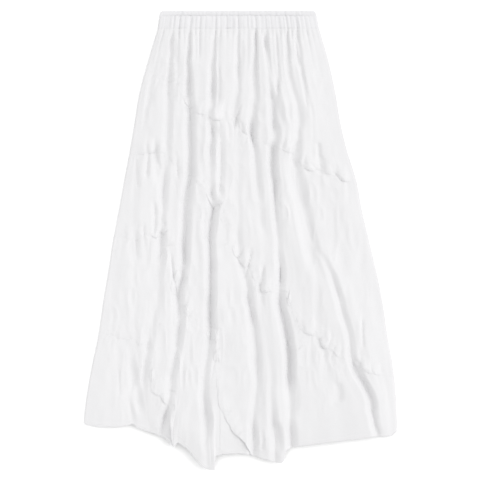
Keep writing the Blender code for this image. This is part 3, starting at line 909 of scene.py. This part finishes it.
def edge_radius(swell, sewn):
    """Radius of a turned edge and how far round it turns."""
    strength = np.clip(swell / FULL_SWELL, 0, 1)
    radius = blend(ROLL_SMALL, ROLL_LARGE, strength)
    turn = blend(TURN_SMALL, TURN_LARGE, strength)
    return blend(ROLL_SMALL, radius, sewn), blend(HEM_TURN, turn, sewn)


def above_edge(edge, columns, up, distance, seed):
    """Swelling, ridges and crumples of a tier above its lower seam."""
    along = foot_along(edge, columns, distance, -1)
    length = uneven(PUFF_FADE, along, seed)
    puff = edge.swell_at(along) * rise(up / PUFF_RISE) * (1 - ease((up - PUFF_RISE) / length))
    crumple = folded_waves(SEAM_CRUMPLES, along, up, seed + 1) * np.exp(-up / SEAM_CRUMPLE_FADE)
    ridges = pleats(SEAM_RIDGES, along, seed + 2)
    ridges *= np.exp(-up / uneven(RIDGE_FADE, along, seed + 4))
    calm = 1 / edge.read("lean", columns)
    unrest = (crumple * calm ** NARROW_CALM + ridges * calm) * rise(up / EDGE_RISE)
    return (puff + unrest) * edge_fade(distance)


def below_edge(edge, columns, down, distance, seed):
    """Dip and gathers of a tier below its upper seam."""
    along = foot_along(edge, columns, distance, 1)
    swell = edge.swell_at(edge.read("along", columns))
    radius, turn = edge_radius(swell, 1.0)
    strength = np.clip(swell / FULL_SWELL, 0, 1)
    depth = radius * (1 - np.cos(turn)) + blend(DIP_SMALL, DIP_LARGE, strength)
    dip = depth * np.exp(-down / (DIP_SHORT + DIP_LONGER * strength))
    narrow = pleats(NARROW_GATHERS, along, seed) * np.exp(-down / NARROW_FADE)
    wide = pleats(WIDE_GATHERS, along, seed + 4) * ease(down / WIDE_START)
    wide *= np.exp(-down / uneven(WIDE_FADE, along, seed + 8))
    calm = 1 / edge.read("lean", columns)
    gathers = (narrow * calm ** NARROW_CALM + wide * calm ** WIDE_CALM) * rise(down / EDGE_RISE)
    return (gathers - dip) * edge_fade(distance)


def waist_valleys(waist_place, down):
    """Depth of the waist gathers below places along the waist seam."""
    total = -pleats(WAIST_PLEATS, waist_place, WAIST_SEED) * np.exp(-down / WAIST_PLEAT_FADE)
    for across, depth, half_width, length in WAIST_GATHERS:
        reach = np.abs(waist_place - across * MM) / (VALLEY_WIDTH * half_width * MM)
        cut = 1 - (rise(reach) + ease(reach)) / 2
        total = total + depth * MM * cut * np.exp(-down / (length * MM))
    return total


def below_waist(columns, height, down):
    """Under the waistband the cloth starts low and gathered, and opens into the folds."""
    valleys = waist_valleys(front_place(columns, BAND_DEPTH), down)
    valleys = valleys * blend(BAND_GATHER, TIER_GATHER, ease(down / GATHER_STEP))
    groove = WAIST_GROOVE * np.exp(-down / GROOVE_REACH)
    return blend(WAIST_LEVEL, height, ease(down / WAIST_OPENING)) - valleys - groove


def at_hem(height, up, free):
    """The folds lie lower towards a free edge, and its turned hem stands up a little."""
    height = height * (1 - free * HEM_SINK * np.exp(-up / HEM_SINK_LENGTH))
    return height + free * HEM_STEP * (1 - ease((up - HEM_WIDTH) / HEM_EASE))


def clear_of_next(height, up, radius, turn, sewn):
    """A tier is lifted where its turned edge would touch the cloth below it."""
    needed = radius * (1 - np.cos(turn)) + SEAM_CLEAR + CLOTH
    lift = np.clip(needed - height[-1] - FRONT_LOWEST + FRONT_FLOOR, 0, None) * sewn
    return height + lift * (1 - np.clip(up / LIFT_REACH, 0, 1)) ** 2


# The tiers

def tier_columns(side, number):
    """Mesh columns of a tier, closer together where it is wide and where its seams run steeply."""
    top, bottom = side.edges[number], side.edges[number + 1]
    across = side.place(DENSE, (top.drop + bottom.drop) / 2)
    step = np.maximum.reduce([np.gradient(across), np.gradient(top.along) / SEAM_PITCH,
                              np.gradient(bottom.along) / SEAM_PITCH])
    step = np.where(bottom.drop - top.drop > LEAST_TIER, step, 0)
    travelled = np.cumsum(step)
    count = int(travelled[-1] / side.pitch)
    return np.interp(np.linspace(0, travelled[-1], count + 1), travelled, DENSE)


def row_shares(side, columns, lengths):
    """Places of a tier's rows, from 0 at its upper edge to 1 at its lower one."""
    rows = min(int(np.max(lengths) / (side.pitch * ROW_PITCH)),
               int(side.most_faces / len(columns)))
    even = np.arange(rows + 1) / rows
    closer = 0.5 - 0.5 * np.cos(np.pi * even)
    return (EVEN_ROWS * even + (1 - EVEN_ROWS) * closer)[:, None]


def turned_edge(x, y, height, radius, turn):
    """The lower edge of a tier, turned under: its points, and how far round the turn each lies."""
    tangent = np.stack([smoothed(np.gradient(line), EDGE_SMOOTHING) for line in (x, y)])
    tangent /= np.linalg.norm(tangent, axis=0)
    turns = np.arange(1, ROLL_ROWS + 1)[:, None] / ROLL_ROWS * turn
    outward = radius * np.sin(turns)
    level = height - radius * (1 - np.cos(turns))
    return x + tangent[1] * outward, y - tangent[0] * outward, level, radius * turns


def tier_points(side, number):
    """Points of one tier, from its upper seam to its turned lower edge, and their flat places."""
    top, bottom = side.edges[number], side.edges[number + 1]
    columns = tier_columns(side, number)
    start, end = top.read("drop", columns), bottom.read("drop", columns)
    wide_enough = end - start > LEAST_TIER
    columns, start, end = (values[wide_enough] for values in (columns, start, end))
    drop = start + (end - start) * row_shares(side, columns, end - start)
    column = np.broadcast_to(columns, drop.shape)
    across = side.place(column, drop)
    height = side.form(column, drop, across)

    to_top, to_bottom = drop - start, end - drop
    down, up = to_top / top.read("lean", columns), to_bottom / bottom.read("lean", columns)
    sewn = bottom.read("sewn", columns)
    seed = side.seed + SEED_STEP * number
    if number == 0:
        height = below_waist(columns, height, down)
    else:
        height = height + below_edge(top, columns, down, to_top, seed)
    height = height + sewn * above_edge(bottom, columns, up, to_bottom, seed + SEED_STEP // 2)
    height = at_hem(height, to_bottom / bottom.read("hem_lean", columns), 1 - sewn)

    radius, turn = edge_radius(bottom.swell_at(bottom.read("along", columns)), sewn)
    radius, turn = smoothed(radius, ROLL_SMOOTHING), smoothed(turn, ROLL_SMOOTHING)
    height = clear_of_next(height, up, radius, turn, sewn)
    y = world_y(drop)
    roll_x, roll_y, roll_height, rolled = turned_edge(across[-1], y[-1], height[-1], radius, turn)
    flat_drop = np.concatenate([drop, end + rolled])
    flat_across = np.concatenate([across, np.broadcast_to(across[-1], rolled.shape)])
    return (np.concatenate([across, roll_x]), np.concatenate([y, roll_y]),
            np.concatenate([height, roll_height]), np.stack([flat_across, flat_drop], axis=-1))


def side_climb(aside):
    """Share of its full level that the front reaches at a distance from its side."""
    slope = 2 * ease(0.5 + 0.5 * aside / SIDE_TURN) - 1
    return BEND_SHARE * rise(aside / SIDE_BEND) + (1 - BEND_SHARE) * slope


def outer_level(side, x, y, height):
    """Level of the cloth's outer face."""
    drop = LENGTH / 2 - y
    aside = np.clip(np.minimum(x - GUIDES[0](drop), GUIDES[-1](drop) - x), 0, None)
    if side.outward > 0:
        level = np.maximum(FRONT_LOWEST + height, FRONT_FLOOR)
        return blend(SIDE_LEVEL, level, side_climb(aside))
    level = np.clip(BACK_RISE - height * BACK_PRESS, 0, BACK_RISE)
    return blend(SIDE_LEVEL, level, rise(aside / SIDE_BEND))


# The waistband

def band_rows(top, radius):
    """Drop of the rows of the casing, which runs up inside, over its fold and down outside, and
    the share of the fold's radius that each lies outwards of its middle."""
    inner = blend(CASING_INNER, top + radius, np.arange(INNER_ROWS)[:, None] / INNER_ROWS)
    bend = np.linspace(0, np.pi, OVER_ROWS)[:, None]
    over = top + radius * (1 - np.sin(bend))
    shares = np.arange(1, OUTER_ROWS + 1)[:, None] / OUTER_ROWS
    outer = blend(top + radius, BAND_DEPTH + 0 * top, shares)
    side = np.concatenate([-1 + 0 * inner, -np.cos(bend) + 0 * over, 1 + 0 * outer])
    return np.concatenate([inner, over, outer]), side


def band_points(step, middle, radius, outward):
    """The casing: one strip of cloth folded over the elastic, gathered along its length."""
    share = np.arange(BAND_COLUMNS + 1) / BAND_COLUMNS
    corner = BAND_CORNER / (BAND_RIGHT - BAND_LEFT)
    waist_place = blend(GUIDES[0](BAND_DEPTH), GUIDES[-1](BAND_DEPTH), share)
    if outward < 0:
        waist_place = waist_place[::-1]
    valleys = BAND_GATHER * waist_valleys(waist_place, 0 * waist_place)
    top = step + BAND_CORNER * (1 - rise(np.minimum(share, 1 - share) / corner))
    top = top + TOP_NOTCH * valleys * (outward > 0)
    drop, side = band_rows(top, radius)
    left = blend(BAND_LEFT, GUIDES[0](BAND_DEPTH), drop / BAND_DEPTH)
    right = blend(BAND_RIGHT, GUIDES[-1](BAND_DEPTH), drop / BAND_DEPTH)
    x = blend(left, right, share)
    down = np.clip(drop - top, 0, None)
    swell = BAND_SWELL * np.sin(np.pi * np.clip(down / (BAND_DEPTH - step), 0, 1))
    ribs = waves(FINE_RIBS, waist_place, drop, FINE_RIB_SEED)
    ribs = ribs + waves(BROAD_RIBS, waist_place, drop, BROAD_RIB_SEED)
    crimp = valleys * blend(TOP_GATHER, 1, ease(down / GATHER_STEP)) + ribs - swell
    crimp = crimp + WAIST_GROOVE * np.exp(-(BAND_DEPTH - drop) / GROOVE_REACH)
    crimp = crimp + outward * BAND_TOP_SINK * (1 - ease(down / BAND_TOP_REACH))
    crimp = crimp * (np.clip(side, 0, 1) if outward > 0 else BACK_CRIMP * side)
    level = middle + outward * (radius * side - crimp)
    ends = side_climb(np.minimum(x - left, right - x))
    z = blend(SIDE_LEVEL + outward * BAND_SIDE_PART * (side - 1), level, ends)
    down_strip = np.cumsum(np.abs(np.gradient(drop, axis=0)), axis=0)
    return x, world_y(drop), np.maximum(z, 0), np.stack([x, down_strip], axis=-1)


# Meshes

def clear_selection():
    """An operator acts on all that is selected, as the frame's solids are after loading."""
    for item in bpy.context.selected_objects:
        item.select_set(False)


def grid_object(name, x, y, z, flat, outward):
    """A mesh from grids of points, with its flat places as a UV map in metres."""
    rows, columns = x.shape
    points = np.stack([x, y, z], axis=-1).reshape(-1, 3)
    index = np.arange(rows * columns).reshape(rows, columns)
    corners = [index[:-1, :-1], index[1:, :-1], index[1:, 1:], index[:-1, 1:]]
    if outward < 0:
        corners.reverse()
    faces = np.stack(corners, axis=-1).reshape(-1, 4)
    mesh = bpy.data.meshes.new(name)
    mesh.from_pydata(points.tolist(), [], faces.tolist())
    places = mesh.uv_layers.new(name="cloth").data
    places.foreach_set("uv", flat.reshape(-1, 2)[faces.reshape(-1)].astype(np.float32).reshape(-1))
    mesh.polygons.foreach_set("use_smooth", [True] * len(faces))
    mesh.update()
    piece = bpy.data.objects.new(name, mesh)
    bpy.context.scene.collection.objects.link(piece)
    return piece


def thicken(piece):
    """Gives the cloth its thickness, inwards from its outer face."""
    clear_selection()
    bpy.context.view_layer.objects.active = piece
    piece.select_set(True)
    wall = piece.modifiers.new("wall", "SOLIDIFY")
    wall.thickness = CLOTH
    wall.offset = -1
    wall.use_rim = True
    bpy.ops.object.modifier_apply(modifier=wall.name)
    bpy.ops.object.shade_smooth_by_angle(angle=SHARP_EDGE)
    piece.select_set(False)


def cloth_piece(name, points, flat, outward, cloth):
    """One thin piece of cloth, which shows in place of the frame's solid of that name."""
    piece = grid_object(name + "_cloth", *points, flat, outward)
    thicken(piece)
    piece.data.materials.append(cloth)
    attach(piece, "root")
    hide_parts(name)
    return piece


# Stitches

def hem_line(side, number):
    """Places along the hem of a tier, a stitch apart, just above its turned edge."""
    top, bottom = side.edges[number], side.edges[number + 1]
    columns = tier_columns(side, number)
    hemmed = bottom.read("sewn", columns) < NOT_SEWN
    hemmed &= bottom.read("drop", columns) - top.read("drop", columns) > LEAST_HEMMED
    columns = columns[hemmed]
    if len(columns) < FEWEST_COLUMNS:
        return [], []
    along = bottom.read("along", columns)
    steps = np.arange(along[0] + STITCH_PITCH, along[-1] - STITCH_PITCH, STITCH_PITCH)
    columns = np.interp(steps, along, columns)
    drop = bottom.read("drop", columns) - HEM_INSET * bottom.read("lean", columns)
    return side.place(columns, drop), world_y(drop)


def band_line():
    """Places along the waistband, a stitch apart, just above its lower seam."""
    x = np.arange(GUIDES[0](BAND_DEPTH) + BAND_END, GUIDES[-1](BAND_DEPTH) - BAND_END,
                  STITCH_PITCH)
    return x, np.full_like(x, world_y(BAND_DEPTH - BAND_INSET))


def stitch_shape():
    """One stitch, along X, with its middle at the origin."""
    bpy.ops.mesh.primitive_uv_sphere_add(segments=STITCH_SIDES, ring_count=STITCH_RINGS, radius=1)
    stitch = bpy.context.object
    stitch.scale = (STITCH_LENGTH / 2, STITCH_WIDTH / 2, STITCH_WIDTH / 2)
    bpy.ops.object.transform_apply(location=False, rotation=False, scale=True)
    return stitch


def sew(name, piece, line, outward, thread):
    """One row of stitches lying on a piece of cloth, joined into one mesh."""
    x, y = line
    surface = BVHTree.FromObject(piece, bpy.context.evaluated_depsgraph_get())
    clear_selection()
    first = stitch_shape()
    for index in range(len(x)):
        above = Vector((x[index], y[index], outward))
        hit, normal, _, _ = surface.ray_cast(above, Vector((0, 0, -outward)))
        if hit is None:
            continue
        ahead = min(index + 1, len(x) - 1)
        run = Vector((x[ahead] - x[ahead - 1], y[ahead] - y[ahead - 1], 0))
        run = (run - normal * run.dot(normal)).normalized()
        turn = Matrix((run, normal.cross(run), normal)).transposed().to_4x4()
        copy = first.copy()
        copy.data = first.data.copy()
        copy.matrix_world = Matrix.Translation(hit) @ turn
        bpy.context.scene.collection.objects.link(copy)
        copy.select_set(True)
    first.select_set(False)
    bpy.data.objects.remove(first)
    bpy.context.view_layer.objects.active = bpy.context.selected_objects[0]
    bpy.ops.object.join()
    bpy.ops.object.transform_apply()
    row = bpy.context.object
    row.name = name
    row.data.materials.append(thread)
    bpy.ops.object.shade_smooth()
    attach(row, "root")
    return row


def build_side(side, cloth, thread):
    """The tiers of the front or of the back, with the stitches of their hems."""
    for number in range(len(side.edges) - 1):
        x, y, height, flat = tier_points(side, number)
        points = x, y, outer_level(side, x, y, height)
        name = "tier_%d_%s" % (number + 1, side.name)
        piece = cloth_piece(name, points, flat, side.outward, cloth)
        line = hem_line(side, number)
        if len(line[0]):
            row_name = "hem_stitches_" + name
            sew(row_name, piece, line, side.outward, thread)


def build_waistband(cloth, thread):
    """The two halves of the waistband, each with a row of stitches."""
    for name, step, middle, radius, outward in BAND_SHAPES:
        *points, flat = band_points(step, middle, radius, outward)
        piece = cloth_piece(name, points, flat, outward, cloth)
        rows = [sew("stitches_" + name, piece, band_line(), outward, thread)]


# Materials

class Socket:
    """A shader value that adds and multiplies as a number does."""

    def __init__(self, tree, socket=None):
        self.tree = tree
        self.socket = socket

    def node(self, kind, settings, inputs):
        node = self.tree.nodes.new(kind)
        for name, value in settings.items():
            setattr(node, name, value)
        for name, value in inputs.items():
            if isinstance(value, Socket):
                self.tree.links.new(value.socket, node.inputs[name])
            else:
                node.inputs[name].default_value = value
        return node

    def math(self, operation, first, second=0.0):
        node = self.node("ShaderNodeMath", {"operation": operation}, {0: first, 1: second})
        return Socket(self.tree, node.outputs[0])

    def __add__(self, other):
        return self.math("ADD", self, other)

    def __radd__(self, other):
        return self.math("ADD", other, self)

    def __mul__(self, other):
        return self.math("MULTIPLY", self, other)

    def __rmul__(self, other):
        return self.math("MULTIPLY", other, self)

    def sine(self):
        return self.math("SINE", self)

    def noise(self, places, sizes):
        scale, detail = sizes
        inputs = {"Vector": places, "Scale": scale, "Detail": detail}
        return Socket(self.tree, self.node("ShaderNodeTexNoise", {}, inputs).outputs[0])


def cloth_places(nodes):
    """Places on the flat cloth, in metres."""
    return Socket(nodes.tree, nodes.node("ShaderNodeUVMap", {"uv_map": "cloth"}, {}).outputs["UV"])


def object_places(nodes):
    """Places on the finished piece, in metres."""
    return Socket(nodes.tree, nodes.node("ShaderNodeTexCoord", {}, {}).outputs["Object"])


def cotton(name, colour, find_places):
    """Plain-woven cotton with slubs, a little uneven in tone and in how matt it is."""
    material = bpy.data.materials.new(name)
    material.use_nodes = True
    tree = material.node_tree
    shader = tree.nodes["Principled BSDF"]
    shader.inputs["Sheen Weight"].default_value = SHEEN
    shader.inputs["Sheen Roughness"].default_value = SHEEN_ROUGHNESS
    shader.inputs["Specular IOR Level"].default_value = SPECULAR
    nodes = Socket(tree)
    places = find_places(nodes)
    parts = nodes.node("ShaderNodeSeparateXYZ", {}, {0: places})
    across, down = Socket(tree, parts.outputs[0]), Socket(tree, parts.outputs[1])
    turns = 2 * math.pi / THREAD_PITCH
    weave = (across * turns).sine() * (down * turns).sine()
    slubs = nodes.noise(places, SLUBS)
    tone = 0.5 * slubs + 0.5 * nodes.noise(places, PATCHES)
    shades = [tuple(part * share for part in colour) + (1,) for share in TONES]
    # A colour mix has its factor at place 0 and its colours at 6 and 7, and gives place 2
    mix = nodes.node("ShaderNodeMix", {"data_type": "RGBA"}, {0: tone, 6: shades[0], 7: shades[1]})
    tree.links.new(mix.outputs[2], shader.inputs["Base Color"])
    roughness = ROUGHNESS[0] + (ROUGHNESS[1] - ROUGHNESS[0]) * slubs
    tree.links.new(roughness.socket, shader.inputs["Roughness"])
    relief = {"Strength": BUMP_STRENGTH, "Distance": BUMP_HEIGHT,
              "Height": WEAVE_RELIEF * weave + slubs}
    bump = nodes.node("ShaderNodeBump", {}, relief)
    tree.links.new(bump.outputs["Normal"], shader.inputs["Normal"])
    return material


# Floor, light and camera

def build_stage():
    """The plain white floor."""
    clear_selection()
    bpy.ops.mesh.primitive_plane_add(size=FLOOR_SIZE, location=(0, 0, FLOOR_LEVEL))
    floor = bpy.context.object
    floor.name = "floor"
    material = bpy.data.materials.new("floor_white")
    material.use_nodes = True
    shader = material.node_tree.nodes["Principled BSDF"]
    shader.inputs["Base Color"].default_value = FLOOR_COLOUR
    shader.inputs["Roughness"].default_value = FLOOR_ROUGHNESS
    shader.inputs["Specular IOR Level"].default_value = 0.0
    floor.data.materials.append(material)


def aim_lamp(lamp, place, target):
    """Places a lamp and turns it towards its target."""
    item = bpy.data.objects.new(lamp.name, lamp)
    item.location = place
    item.rotation_mode = "QUATERNION"
    item.rotation_quaternion = (Vector(target) - item.location).to_track_quat("-Z", "Y")
    bpy.context.scene.collection.objects.link(item)


def build_light():
    """A white sky, soft light from the right and a faint one from the left."""
    world = bpy.data.worlds.new("studio")
    world.use_nodes = True
    background = world.node_tree.nodes["Background"]
    background.inputs["Color"].default_value = SKY_COLOUR
    background.inputs["Strength"].default_value = SKY_STRENGTH
    bpy.context.scene.world = world
    window = bpy.data.lights.new("window", "SUN")
    window.angle = WINDOW_ANGLE
    window.energy = WINDOW_STRENGTH
    aim_lamp(window, WINDOW_PLACE, (0, 0, 0))
    card = bpy.data.lights.new("reflector", "AREA")
    card.shape = "RECTANGLE"
    card.size, card.size_y = CARD_SIZE
    card.energy = CARD_POWER
    aim_lamp(card, CARD_PLACE, CARD_TARGET)


def build_camera():
    """Straight above the skirt, with the waist at the top of the view."""
    camera = bpy.data.cameras.new("camera")
    camera.sensor_width = SENSOR
    camera.lens = SENSOR * CAMERA_DISTANCE * VIEW_SHARE / LENGTH
    camera.clip_end = CLIP_END
    item = bpy.data.objects.new("camera", camera)
    item.location = (0, 0, CAMERA_DISTANCE + CAMERA_AIM)
    bpy.context.scene.collection.objects.link(item)
    bpy.context.scene.camera = item
    bpy.context.scene.view_settings.view_transform = "Standard"


# The skirt

front = Side("front", front_place, front_form, 1, FINE_PITCH, FRONT_FACES, FRONT_SEED)
back = Side("back", back_place, back_form, -1, COARSE_PITCH, BACK_FACES, BACK_SEED)
lay_edges(front, FRONT_SEAMS, FRONT_HEM, SEAM_LOBES)
back_lobes = [random_lobes(back, points, BACK_LOBE_SEED + number)
              for number, points in enumerate(BACK_SEAMS)]
lay_edges(back, BACK_SEAMS, BACK_HEM, back_lobes)

tier_cloth = cotton("tier_cotton", COTTON_COLOUR, cloth_places)
# the waistband's cotton carries a little painted shade in its colour
band_cloth = cotton("waistband_cotton_painted_shade", BAND_PAINTED_SHADE_COLOUR, cloth_places)
sewing_thread = cotton("sewing_thread", THREAD_COLOUR, object_places)
build_camera()
build_stage()
build_light()
build_side(front, tier_cloth, sewing_thread)
build_side(back, tier_cloth, sewing_thread)
build_waistband(band_cloth, sewing_thread)
